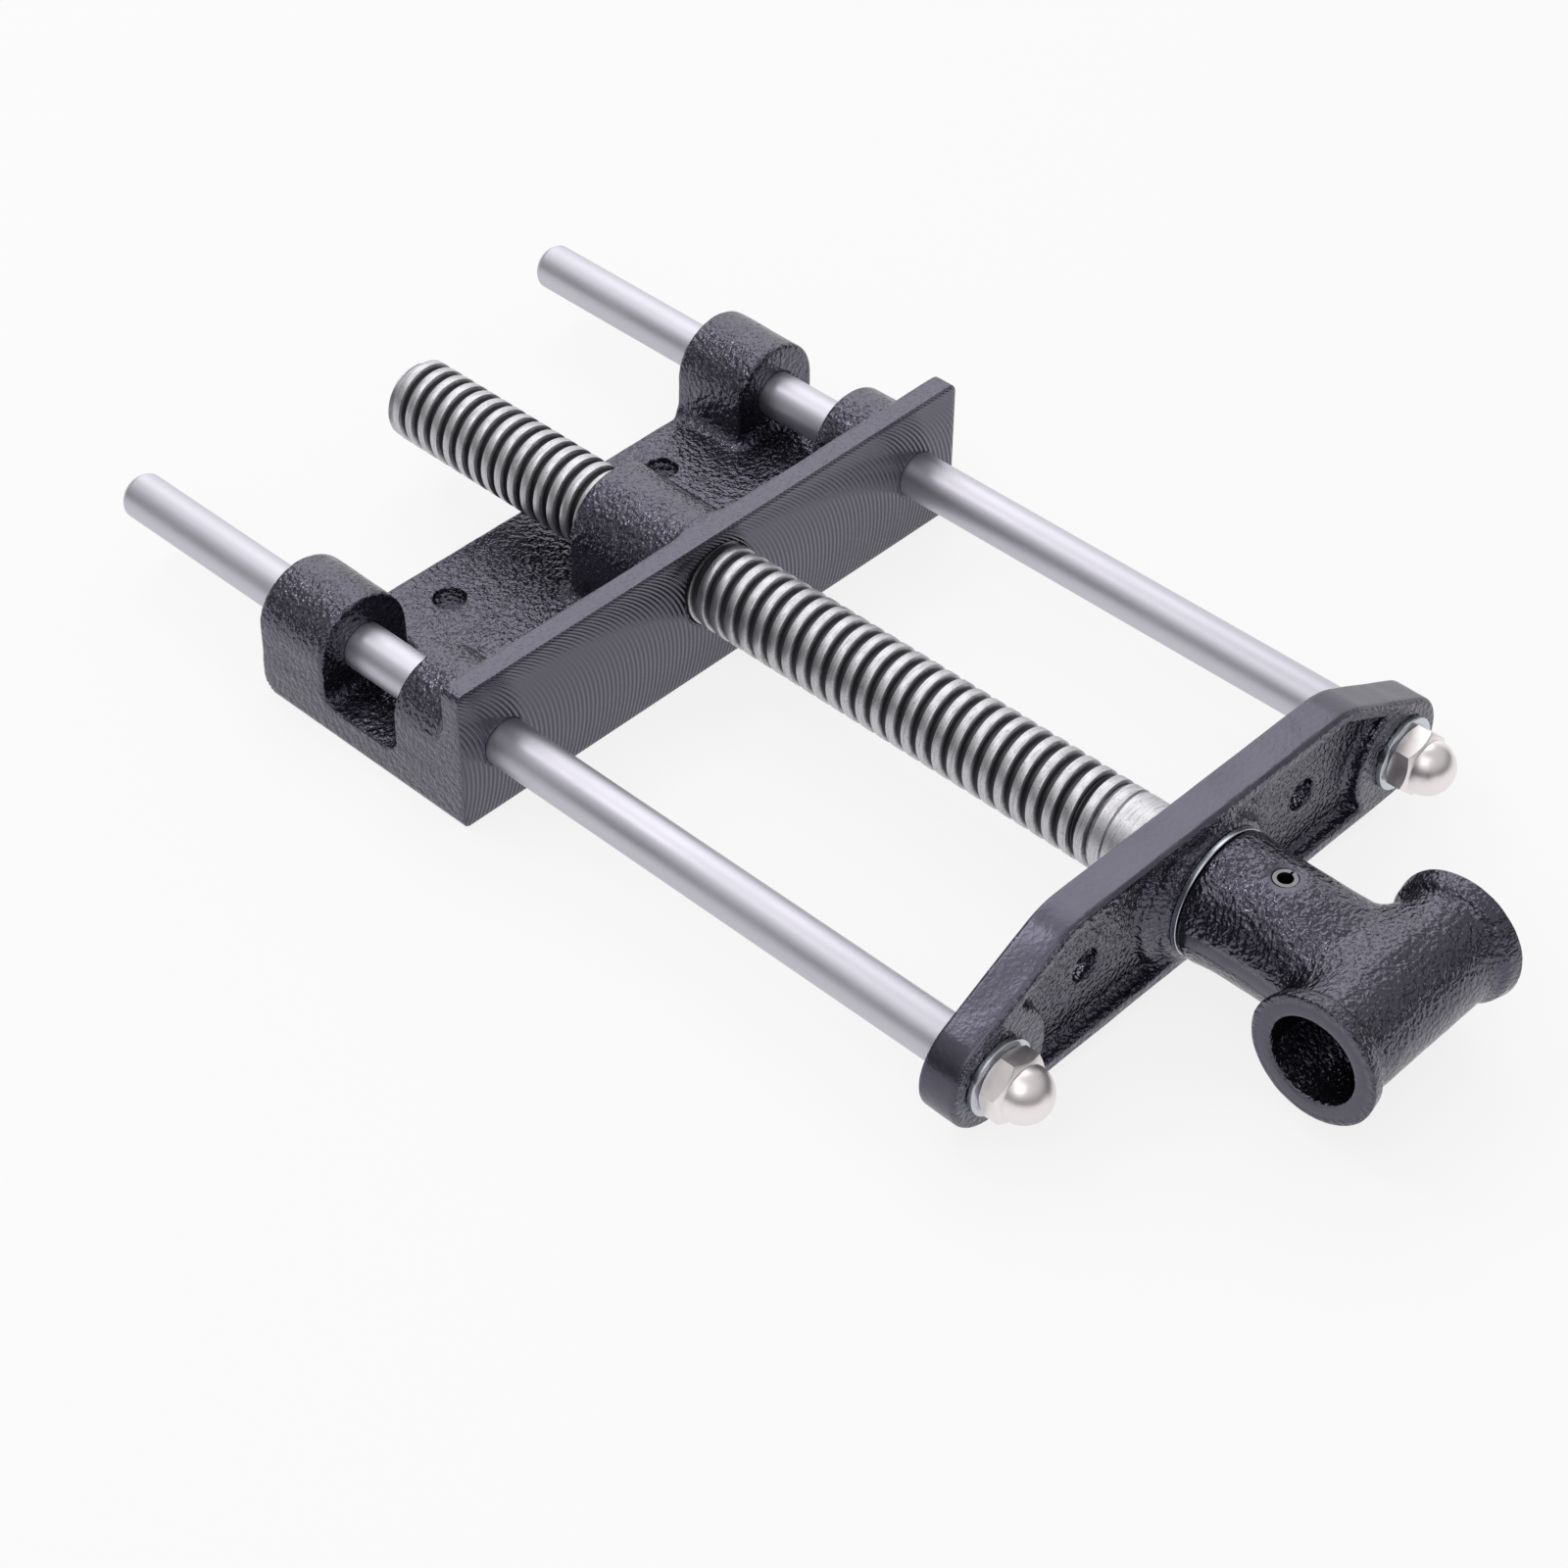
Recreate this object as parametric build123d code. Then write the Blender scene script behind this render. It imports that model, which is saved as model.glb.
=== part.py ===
from build123d import *
import math
import os

# Front vise hardware for a workbench: a cast bracket bolted under the bench, a cast
# front jaw carried on two guide rods, and a lead screw turned through a tee socket.
#
# Frame: millimetres, +Z up, origin on the bench face (the bracket's underside), midway
# between the two bench bolt holes.  The screw and the rods run along Y.  The jaw and
# the handle socket are at -Y and the plain tail ends at +Y.

# ---------------------------------------------------------------- driving dimensions
# Shared by the bracket, the jaw, the rods and the screw
rod_spacing = 150.0          # between the two guide rod axes
rod_diameter = 13.0
rod_height = 19.5            # rod axes above the bench face
lug_radius = 14.5            # metal round each rod, in the bracket and at the jaw ends
screw_diameter = 23.0
screw_rise = 6.0             # screw axis above the rod axes

# Bracket
base_length = 75.0           # along the screw, from the machined face to the back
base_thickness = 9.0
plate_height = 42.0          # top of the upright plate above the bench face
plate_thickness = 6.5
front_lug_length = 19.0      # guide lug behind the plate
rear_lug_length = 24.0       # guide lug at the back of the base
lug_overhang = 1.5           # the rear lugs stand out this far behind the base
nut_radius = 16.0            # outside of the nut boss
nut_length = 39.5            # from the machined face to the end of the nut boss
bolt_spacing = 78.0
bolt_hole_diameter = 8.5
bolt_setback = 61.0          # bench bolts behind the machined face
foot_radius = 5.0            # cast fillet where lugs and boss meet the base
root_radius = 4.0            # cast fillet where the plate meets the base
plate_corner_radius = 2.5    # top corners of the plate, seen from the front
plate_edge = 0.6             # broken edges along the top of the plate
nut_mouth = 1.5              # chamfer at both ends of the nut bore

# Front jaw
jaw_opening = 149.0          # between the machined face and the jaw in the stored pose
jaw_thickness = 10.5
jaw_rise = 22.8              # top of the jaw above the screw axis
jaw_crown = 101.5            # length of the straight top edge
jaw_rim = 4.0                # wall of the channel, seen from the front
jaw_recess = 4.0             # depth of the channel in front of the web
recess_slope = 1.8           # sloped foot where the web meets the walls round it
rod_pad_radius = 17.0        # pad under each rod washer
hub_radius = 22.4            # disc round the screw, lower than the rim
hub_edge = 0.2               # upright edge of the disc, above its sloped foot
collar_radius = 18.0         # raised face under the thrust washer
collar_height = 1.7          # how far the collar stands out of the rim
collar_draft = 2.2           # the collar is this much wider at its root
jaw_hole_spacing = 80.0
jaw_hole_diameter = 8.5
jaw_edge = 0.8               # broken edge round the front of the jaw

# Lead screw
screw_length = 265.3         # from its shoulder at the jaw to the tail
tail_chamfer = 2.0
journal_diameter = 18.0      # turned end that runs in the jaw and seats in the socket
journal_seat = 31.0          # length of the journal inside the socket

# Thrust washer
thrust_washer_diameter = 34.0
thrust_washer_thickness = 1.5

# Handle socket
barrel_diameter = 33.0
barrel_length = 47.5         # from the thrust face to the handle axis
tube_diameter = 29.0
tube_length = 56.4
tube_flange_diameter = 35.0
tube_flange_width = 5.0
handle_bore_diameter = 23.0
flare_width = 43.0           # width of the flare at the axis of the tube
flare_height = 26.0
flare_start = 22.0           # from the thrust face to where the flare begins

# Spring pin through the socket and the journal
pin_diameter = 6.0
pin_bore = 4.0
pin_setback = 16.5           # pin axis in front of the thrust face
pin_inset = 0.5              # how far the pin's ends lie below the barrel's skin

# Guide rods and their fastenings
rod_length = 291.5           # from the shoulder at the jaw to the tail
rod_tail_chamfer = 1.5
stud_diameter = 10.0
rod_washer_diameter = 20.0
rod_washer_thickness = 1.6
nut_across_flats = 16.0
nut_hex_height = 6.0
nut_chamfer_angle = 30.0     # of the cuts across the hexagon's corners, in degrees
dome_diameter = 14.5
dome_bands = 3               # cones that stand for the round of the dome
dome_neck = 0.4              # short cylinder between the hexagon and the dome
stud_engagement = 7.0        # how far the stud reaches into the cap nut
stud_end_gap = 1.0           # space left inside the cap nut beyond the stud
nut_turns = (16.0, -18.0)      # where the left and right hexagon came to rest, in degrees

# Clearances, on the radius unless said otherwise
rod_running_clearance = 0.08
screw_running_clearance = 0.10
journal_clearance = 0.08
stud_clearance = 0.25
thread_seat_clearance = 0.02
pin_clearance = 0.02
end_play = 0.10              # along the screw, at the shoulder, the washer and the socket

# ---------------------------------------------------------------- derived places
rod_x = rod_spacing / 2
half_width = rod_x + lug_radius
screw_height = rod_height + screw_rise
face_y = -bolt_setback                      # machined face of the bracket
plate_back_y = face_y + plate_thickness
base_back_y = face_y + base_length
front_lug_end_y = plate_back_y + front_lug_length
rear_lug_back_y = base_back_y + lug_overhang
rear_lug_start_y = rear_lug_back_y - rear_lug_length
nut_end_y = face_y + nut_length
jaw_back_y = face_y - jaw_opening           # face of the jaw that takes a wooden cheek
jaw_front_y = jaw_back_y - jaw_thickness
web_front_y = jaw_front_y + jaw_recess
hub_y = web_front_y - recess_slope - hub_edge
collar_y = jaw_front_y - collar_height
thrust_y = collar_y - end_play - thrust_washer_thickness - end_play
flare_start_y = thrust_y - flare_start
handle_y = thrust_y - barrel_length
pin_y = thrust_y - pin_setback
screw_shoulder_y = jaw_back_y + end_play
screw_tail_y = screw_shoulder_y + screw_length
rod_tail_y = jaw_back_y + rod_length
jaw_bottom = rod_height - lug_radius
jaw_top = screw_height + jaw_rise
nut_seat_y = jaw_front_y - rod_washer_thickness
nut_dome_y = nut_seat_y - nut_hex_height - dome_neck
stud_end_y = nut_seat_y - stud_engagement


# ---------------------------------------------------------------- helpers
def prism(outline, y_from, y_to):
    """An outline drawn in X and Z, pushed along the screw from y_from to y_to."""
    plane = Plane(origin=(0, y_to, 0), x_dir=(1, 0, 0), z_dir=(0, -1, 0))
    return extrude(plane * outline, amount=y_to - y_from)


def bar(x, z, diameter, y_from, y_to):
    """A round bar or a round hole along the screw's direction."""
    return prism(Pos(x, z) * Circle(diameter / 2), y_from, y_to)


def turned(x, z, points):
    """A solid of revolution along Y through (x, z), from (radius, y) points."""
    plane = Plane(origin=(x, 0, z), x_dir=(1, 0, 0), z_dir=(0, 0, 1))
    profile = plane * make_face(Polyline(*points, close=True))
    return revolve(profile, axis=Axis((x, 0, z), (0, 1, 0)))


def plain_lug(x, radius, height):
    """Outline of a lug: a round top and straight sides down to the bench face."""
    return Pos(x, height) * Circle(radius) + Pos(x, height / 2) * Rectangle(2 * radius, height)


def foot(x, radius):
    """Outline of the cast fillets on both sides of a lug, where it meets the base."""
    width = 2 * (radius + foot_radius)
    height = base_thickness + foot_radius
    outline = Pos(0, height / 2) * Rectangle(width, height)
    for side in (-1, 1):
        outline -= Pos(side * (radius + foot_radius), height) * Circle(foot_radius)
    keep = Pos(0, height) * Rectangle(2 * half_width, 2 * height)
    return (Pos(x, 0) * outline) & keep


def edges_at(body, axis, place):
    """The edges whose centres lie at one place along an axis."""
    return body.edges().filter_by_position(axis, place - 0.01, place + 0.01)


def cast_lug(x, radius, height, y_from, y_to):
    """A lug with a round top, standing on its cast fillets as far back as the base goes."""
    body = prism(plain_lug(x, radius, height), y_from, y_to)
    return body + prism(foot(x, radius), y_from, min(y_to, base_back_y))


# ---------------------------------------------------------------- bracket
def base_and_plate():
    """The base and the upright plate, one L-shaped section with a cast fillet."""
    depth = base_back_y - face_y
    section = Pos(depth / 2, base_thickness / 2) * Rectangle(depth, base_thickness)
    section += Pos(plate_thickness / 2, plate_height / 2) * Rectangle(plate_thickness, plate_height)
    root = Pos(plate_thickness + root_radius / 2, base_thickness + root_radius / 2)
    section += root * Rectangle(root_radius, root_radius)
    section -= Pos(plate_thickness + root_radius, base_thickness + root_radius) * Circle(root_radius)
    plane = Plane(origin=(-half_width, face_y, 0), x_dir=(0, 1, 0), z_dir=(1, 0, 0))
    return extrude(plane * section, amount=2 * half_width)


def bracket():
    """Cast bracket: base, upright plate, four rod lugs and the nut boss."""
    body = soften_plate(base_and_plate())
    buried_y = plate_back_y - plate_thickness / 2
    for x in (-rod_x, rod_x):
        body += cast_lug(x, lug_radius, rod_height, buried_y, front_lug_end_y)
        body += cast_lug(x, lug_radius, rod_height, rear_lug_start_y, rear_lug_back_y)
    body += cast_lug(0, nut_radius, screw_height, buried_y, nut_end_y)
    for side in (-1, 1):
        body -= bar(side * rod_x, rod_height, rod_diameter + 2 * rod_running_clearance,
                    face_y - 1, rear_lug_back_y + 1)
        body -= Pos(side * bolt_spacing / 2, 0, base_thickness / 2) * Cylinder(
            bolt_hole_diameter / 2, 3 * base_thickness)
    return body - nut_bore()


def soften_plate(body):
    """Rounds the top corners of the plate and breaks the edges along its top."""
    body = fillet(edges_at(body, Axis.Z, plate_height).filter_by(Axis.Y), plate_corner_radius)
    return chamfer(edges_at(body, Axis.Z, plate_height).filter_by(Axis.X), plate_edge)


def nut_bore():
    """Bore of the nut boss with a chamfered mouth at both ends."""
    radius = screw_diameter / 2 + screw_running_clearance
    wide = radius + nut_mouth
    return turned(0, screw_height, [
        (0, face_y - 1), (wide, face_y - 1), (wide, face_y), (radius, face_y + nut_mouth),
        (radius, nut_end_y - nut_mouth), (wide, nut_end_y), (wide, nut_end_y + 1),
        (0, nut_end_y + 1)])


# ---------------------------------------------------------------- front jaw
def jaw_outline():
    """Straight top over the screw, sloped shoulders down to a round end at each rod."""
    ends = [Pos(side * rod_x, rod_height) * Circle(lug_radius) for side in (-1, 1)]
    crown = Pos(0, (jaw_bottom + jaw_top) / 2) * Rectangle(jaw_crown, jaw_top - jaw_bottom)
    return make_hull([edge for piece in (crown, *ends) for edge in piece.edges()])


def jaw_recesses():
    """The two channels in the front of the jaw, left and right of the hub."""
    inner = offset(jaw_outline(), amount=-jaw_rim)
    inner -= Pos(0, screw_height) * Circle(hub_radius)
    for side in (-1, 1):
        inner -= Pos(side * rod_x, rod_height) * Circle(rod_pad_radius)
    pockets = []
    for face in inner.faces():
        block = prism(Sketch() + face, jaw_front_y - 1, web_front_y)
        floor = block.faces().sort_by(Axis.Y)[-1]
        pockets.append(chamfer(floor.edges(), recess_slope))
    return pockets


def hub_recess():
    """The shallower cut over the disc round the screw, between the rims above and below it."""
    inner = offset(jaw_outline(), amount=-jaw_rim)
    disc = Pos(0, screw_height) * Circle(hub_radius + hub_edge)
    return prism(inner & disc, jaw_front_y - 1, hub_y)


def front_jaw():
    """Cast jaw: a ribbed channel with a hub for the screw and a pad at each rod."""
    body = prism(jaw_outline(), jaw_front_y, jaw_back_y)
    rim = body.faces().sort_by(Axis.Y)[0].edges()
    body = chamfer(rim, jaw_edge)
    for pocket in jaw_recesses():
        body -= pocket
    body -= hub_recess()
    root = collar_radius + collar_draft
    body += turned(0, screw_height, [
        (0, web_front_y), (root, web_front_y), (root, hub_y), (collar_radius, collar_y), (0, collar_y)])
    body -= bar(0, screw_height, journal_diameter + 2 * journal_clearance, collar_y - 1, jaw_back_y + 1)
    for side in (-1, 1):
        body -= bar(side * rod_x, rod_height, stud_diameter + 2 * stud_clearance,
                    jaw_front_y - 1, jaw_back_y + 1)
        body -= bar(side * jaw_hole_spacing / 2, screw_height, jaw_hole_diameter,
                    jaw_front_y - 1, jaw_back_y + 1)
    return body


# ---------------------------------------------------------------- screw and socket
def lead_screw():
    """Lead screw: full diameter up to its shoulder, then a turned journal."""
    radius = screw_diameter / 2
    journal = journal_diameter / 2
    journal_end = thrust_y - journal_seat
    body = turned(0, screw_height, [
        (0, journal_end), (journal, journal_end), (journal, screw_shoulder_y),
        (radius, screw_shoulder_y), (radius, screw_tail_y - tail_chamfer),
        (radius - tail_chamfer, screw_tail_y), (0, screw_tail_y)])
    return body - pin_hole()


def pin_hole():
    """Cross hole for the spring pin, drilled through the barrel and the journal."""
    return Pos(0, pin_y, screw_height) * Cylinder(pin_diameter / 2 + pin_clearance, 2 * barrel_diameter)


def thrust_washer():
    """Flat washer between the hub of the jaw and the turning socket."""
    outer = bar(0, screw_height, thrust_washer_diameter, thrust_y + end_play, collar_y - end_play)
    bore = journal_diameter + 2 * journal_clearance
    return outer - bar(0, screw_height, bore, thrust_y - 1, collar_y + 1)


def tube_along_x(diameter, length):
    """A round bar along X on the handle axis."""
    return Pos(0, handle_y, screw_height) * Rot(0, 90, 0) * Cylinder(diameter / 2, length)


def flare():
    """Cone that widens towards the cross tube, flattened above and below to the tube's height."""
    cone = turned(0, screw_height, [
        (0, flare_start_y), (barrel_diameter / 2, flare_start_y), (flare_width / 2, handle_y), (0, handle_y)])
    side = Polyline(
        (flare_start_y, barrel_diameter / 2), (handle_y, flare_height / 2),
        (handle_y, -flare_height / 2), (flare_start_y, -barrel_diameter / 2), close=True)
    return cone & extrude(Plane.YZ * (Pos(0, screw_height) * make_face(side)), flare_width, both=True)


def handle_socket():
    """Cast tee: a barrel on the screw that flares into the cross tube for the handle."""
    barrel = bar(0, screw_height, barrel_diameter, flare_start_y, thrust_y) + flare()
    tube = tube_along_x(tube_diameter, tube_length)
    for side in (-1, 1):
        ring = tube_along_x(tube_flange_diameter, tube_flange_width)
        tube += Pos(side * (tube_length - tube_flange_width) / 2, 0, 0) * ring
    body = barrel + tube
    body -= tube_along_x(handle_bore_diameter, tube_length + 2)
    body -= bar(0, screw_height, journal_diameter + 2 * thread_seat_clearance,
                thrust_y - journal_seat - end_play, thrust_y + 1)
    return body - pin_hole()


def socket_pin():
    """Rolled spring pin: a short tube with a slot down one side."""
    length = barrel_diameter - 2 * pin_inset
    place = Pos(0, pin_y, screw_height)
    tube = Cylinder(pin_diameter / 2, length) - Cylinder(pin_bore / 2, length + 1)
    slot = Pos(pin_diameter / 2, 0, 0) * Box(pin_diameter, pin_diameter / 10, length + 1)
    return place * (tube - slot)


# ---------------------------------------------------------------- rods and fastenings
def guide_rod(x):
    """Guide rod with a shoulder at the jaw, a stud in front and a chamfered tail."""
    radius = rod_diameter / 2
    stud = stud_diameter / 2
    return turned(x, rod_height, [
        (0, stud_end_y), (stud, stud_end_y), (stud, jaw_back_y), (radius, jaw_back_y),
        (radius, rod_tail_y - rod_tail_chamfer), (radius - rod_tail_chamfer, rod_tail_y),
        (0, rod_tail_y)])


def rod_washer(x):
    """Flat washer under a cap nut."""
    disc = bar(x, rod_height, rod_washer_diameter, nut_seat_y, jaw_front_y)
    return disc - bar(x, rod_height, stud_diameter + 2 * stud_clearance, nut_seat_y - 1, jaw_front_y + 1)


def dome_profile():
    """Points down the round of the dome, from its neck to its top, in even steps of angle."""
    radius = dome_diameter / 2
    steps = [math.radians(90 * band / dome_bands) for band in range(dome_bands + 1)]
    points = [(radius * math.cos(step), nut_dome_y - radius * math.sin(step)) for step in steps]
    return points[:-1] + [(0, nut_dome_y - radius)]


def nut_hexagon(x, turn, spread):
    """The hexagon of a cap nut, which widens by the spread angle from its top to its seat."""
    plane = Plane(origin=(x, nut_seat_y - nut_hex_height, rod_height), x_dir=(1, 0, 0), z_dir=(0, 1, 0))
    outline = Rot(0, 0, turn) * RegularPolygon(nut_across_flats / 2, 6, major_radius=False)
    return extrude(plane * outline, amount=nut_hex_height, taper=-spread)


def cap_nut(x, turn):
    """Domed cap nut: a hexagon whose corners are cut by flats, a short neck and a dome."""
    corner_cuts = nut_hexagon(x, turn + 30, 90 - nut_chamfer_angle)
    body = nut_hexagon(x, turn, 0) & corner_cuts
    body += turned(x, rod_height, [
        (0, nut_seat_y - nut_hex_height), (dome_diameter / 2, nut_seat_y - nut_hex_height), *dome_profile()])
    return body - bar(x, rod_height, stud_diameter + 2 * thread_seat_clearance,
                      stud_end_y - stud_end_gap, nut_seat_y + 1)


# ---------------------------------------------------------------- the set of parts
def parts():
    """Every sub-part by name."""
    made = {
        "bracket": bracket(),
        "front_jaw": front_jaw(),
        "lead_screw": lead_screw(),
        "thrust_washer": thrust_washer(),
        "handle_socket": handle_socket(),
        "socket_pin": socket_pin(),
    }
    for name, x, turn in (("left", -rod_x, nut_turns[0]), ("right", rod_x, nut_turns[1])):
        made["guide_rod_" + name] = guide_rod(x)
        made["rod_washer_" + name] = rod_washer(x)
        made["cap_nut_" + name] = cap_nut(x, turn)
    return made


os.makedirs("parts", exist_ok=True)
for name, shape in parts().items():
    export_step(shape, "parts/" + name + ".step")
    print(name, round(shape.volume / 1000, 2), "cm3")
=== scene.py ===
# %% [markdown]
# Front vise hardware, dressed. A vise like this hangs under the edge of a bench: a black
# cast bracket holds a long screw and two guide rods, and a black cast jaw rides on them.
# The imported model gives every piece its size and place. This lesson gives each piece the
# surface of the real one: sand-cast iron under enamel, a cut thread, drawn steel rods and
# nickel cap nuts. The sizes below are millimetres, and a mesh is scaled to metres when it
# is made.

import math

import bpy
import numpy as np
from mathutils import Matrix, Vector


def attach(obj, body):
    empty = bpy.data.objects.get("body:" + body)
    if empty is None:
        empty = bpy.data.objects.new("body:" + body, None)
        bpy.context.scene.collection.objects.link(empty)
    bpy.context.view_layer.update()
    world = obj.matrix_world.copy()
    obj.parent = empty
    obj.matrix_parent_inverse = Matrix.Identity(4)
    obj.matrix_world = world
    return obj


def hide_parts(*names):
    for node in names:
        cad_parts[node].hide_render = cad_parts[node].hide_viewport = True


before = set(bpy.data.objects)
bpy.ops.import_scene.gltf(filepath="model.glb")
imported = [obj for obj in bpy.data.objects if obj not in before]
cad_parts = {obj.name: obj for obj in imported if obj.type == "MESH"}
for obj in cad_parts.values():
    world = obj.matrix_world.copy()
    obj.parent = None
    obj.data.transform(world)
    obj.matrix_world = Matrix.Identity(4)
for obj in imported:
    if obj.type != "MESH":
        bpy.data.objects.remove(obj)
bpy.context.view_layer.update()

# %% [markdown]
# The few sizes that several pieces share. The screw and the two rods lie along Y. The
# origin is on the bench face, midway between the two bench bolts.

# %% Shared sizes
MM = 0.001
ROD_X = 75.0
ROD_Z = 19.5
SCREW_Z = 25.5
HALF_WIDTH = 89.5
FACE_Y = -61.0
JAW_BACK_Y = -210.0
JAW_FRONT_Y = -220.5
SEAT_Y = -222.1
COLLAR_Y = -222.2
THRUST_Y = -223.9
HANDLE_Y = -271.4
PIN_Y = -240.4
print("rod axes at x = +-%.0f, z = %.1f; screw axis at z = %.1f" % (ROD_X, ROD_Z, SCREW_Z))

# %% [markdown]
# The camera stands where the photograph was taken from: in front and to the left of the
# jaw, looking down across the screw. Its place, its turn and its lens were fitted to long
# straight edges of the bracket, the rods and the jaw. A camera looks along its own -Z, with
# its own Y up, so the columns of its turn are right, up and back.

# %% Camera
camera_data = bpy.data.cameras.new("camera")
camera_data.sensor_width = 36.0
camera_data.lens = 81.274
camera_data.clip_start, camera_data.clip_end = 0.01, 20.0
camera = bpy.data.objects.new("camera", camera_data)
camera_place = np.array([-498.3744, -555.3136, 596.4994])
right = np.array([0.69145556, -0.72239005, 0.00646733])
down = np.array([-0.48346143, -0.46937346, -0.73888673])
forward = np.array([0.53680002, 0.50778063, -0.67379861])
turn = np.eye(4)
turn[:3, 0], turn[:3, 1], turn[:3, 2] = right, -down, -forward
turn[:3, 3] = camera_place * MM
camera.matrix_world = Matrix(turn.tolist())
bpy.context.scene.collection.objects.link(camera)
bpy.context.scene.camera = camera
print("camera at", [round(v, 3) for v in camera.matrix_world.translation])

# %% [markdown]
# A mesh can be worked out as whole arrays. Every piece here is a net of four-sided faces
# over an array of points. Where a surface closes on itself, at a seam or at a pole, several
# points of the array share one place. The weld joins them, so that each piece is a closed
# skin, and drops the corners that have become double.

# %% Weld a net and make it an object
WELD_DECIMALS = 4


def add_piece(name, points, quads, crease=35.0):
    """Points that share a place to a ten-thousandth of a millimetre become one, and each face
    keeps only corners that differ from the next. Edges sharper than crease degrees stay sharp."""
    rounded = np.round(points, WELD_DECIMALS)
    _, first, same = np.unique(rounded, axis=0, return_index=True, return_inverse=True)
    corners = same.reshape(-1)[quads]
    keep = corners != np.roll(corners, -1, axis=1)
    solid = keep.sum(axis=1) > 2
    corners, keep = corners[solid], keep[solid]
    sides = keep.sum(axis=1)
    starts = np.concatenate([[0], np.cumsum(sides)[:-1]])
    mesh = bpy.data.meshes.new(name)
    mesh.vertices.add(len(first))
    mesh.vertices.foreach_set("co", (points[first] * MM).astype(np.float32).ravel())
    mesh.loops.add(int(sides.sum()))
    mesh.loops.foreach_set("vertex_index", corners[keep].astype(np.int32))
    mesh.polygons.add(len(sides))
    mesh.polygons.foreach_set("loop_start", starts.astype(np.int32))
    mesh.update(calc_edges=True)
    mesh.validate()
    mesh.shade_smooth()
    mesh.set_sharp_from_angle(angle=math.radians(crease))
    piece = bpy.data.objects.new(name, mesh)
    bpy.context.scene.collection.objects.link(piece)
    print("%s: %d points, %d faces" % (name, len(first), len(sides)))
    return piece


def stand_in(piece, node, body):
    """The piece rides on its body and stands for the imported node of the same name."""
    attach(piece, body)
    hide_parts(node)
    return piece


def keep_ground(piece, rule):
    """Stores a number from 0 to 1 at each point of a piece, under the name ground, which the
    rule works out from the point's place. A material can read it by that name."""
    flat = np.empty(3 * len(piece.data.vertices), np.float32)
    piece.data.vertices.foreach_get("co", flat)
    share = np.clip(rule(*(flat.reshape(-1, 3).T.astype(float) / MM)), 0, 1)
    layer = piece.data.attributes.new("ground", "FLOAT", "POINT")
    layer.data.foreach_set("value", share.astype(np.float32))
    print("ground part of %s: %.0f %% of its points" % (piece.name, 100 * (share > 0.5).mean()))

# %% [markdown]
# A sand casting has no sharp corners: where two walls meet, the pattern maker rounds the
# inside with a fillet and the sand rounds the outside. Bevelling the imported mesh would
# round the outside, but the fillets where three walls meet are hard to get that way. A
# distance field gives both. For each point in space it says how far away the surface is,
# less than nothing on the inside. Two fields are joined with a quarter circle between them
# (a fillet), or cut by each other with a quarter circle (a rounded edge).

# %% Distance fields and how they join
def join(a, b, radius):
    """Either shape, with a fillet: nearer than the radius to both, the distance is taken to
    the arc of a quarter circle that touches both."""
    near = np.sqrt(np.maximum(radius - a, 0) ** 2 + np.maximum(radius - b, 0) ** 2)
    return np.maximum(radius, np.minimum(a, b)) - near


def both(a, b, radius):
    """What lies in both shapes, with its edge rounded by the same quarter circle."""
    far = np.sqrt(np.maximum(radius + a, 0) ** 2 + np.maximum(radius + b, 0) ** 2)
    return np.minimum(-radius, np.maximum(a, b)) + far


def cut(a, b, radius):
    """The first shape without the second, with a rounded edge at the mouth of the cut."""
    return both(a, -b, radius)


def between(v, low, high):
    """Distance to the space between two flat faces, across one axis."""
    return np.maximum(low - v, v - high)


def ring(u, v, radius):
    """Distance to an endless round bar, from the offsets across it: the length of the two
    offsets together, less the radius."""
    return np.sqrt(u * u + v * v) - radius


def ripple(x, y, z, size):
    """Slow unevenness of a sand mould, between -1 and 1: a sine wave over x that bends with z,
    times one over y that bends with x, and a weaker slanting wave added."""
    over_x = np.sin(x / size + 1.3 * np.sin(z / size))
    over_y = np.sin(y / size + 0.7 * np.sin(x / size * 1.7))
    return 0.7 * (over_x * over_y) + 0.3 * np.sin(z / size * 2.3 + y / size * 1.9)


print("a 4 mm fillet fills %.2f mm of the corner of two walls" % -join(0.0, 0.0, 4.0))

# %% [markdown]
# To turn a field into a mesh, space is cut into small cubes. Each cube that the surface
# passes through gets one point, the mean of the places where the surface crosses its edges,
# and each crossed edge gets a face between the four cubes round it. The points then slide
# down the slope of the field until they lie on the surface itself, so flat faces come out
# flat and round ones round.

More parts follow.
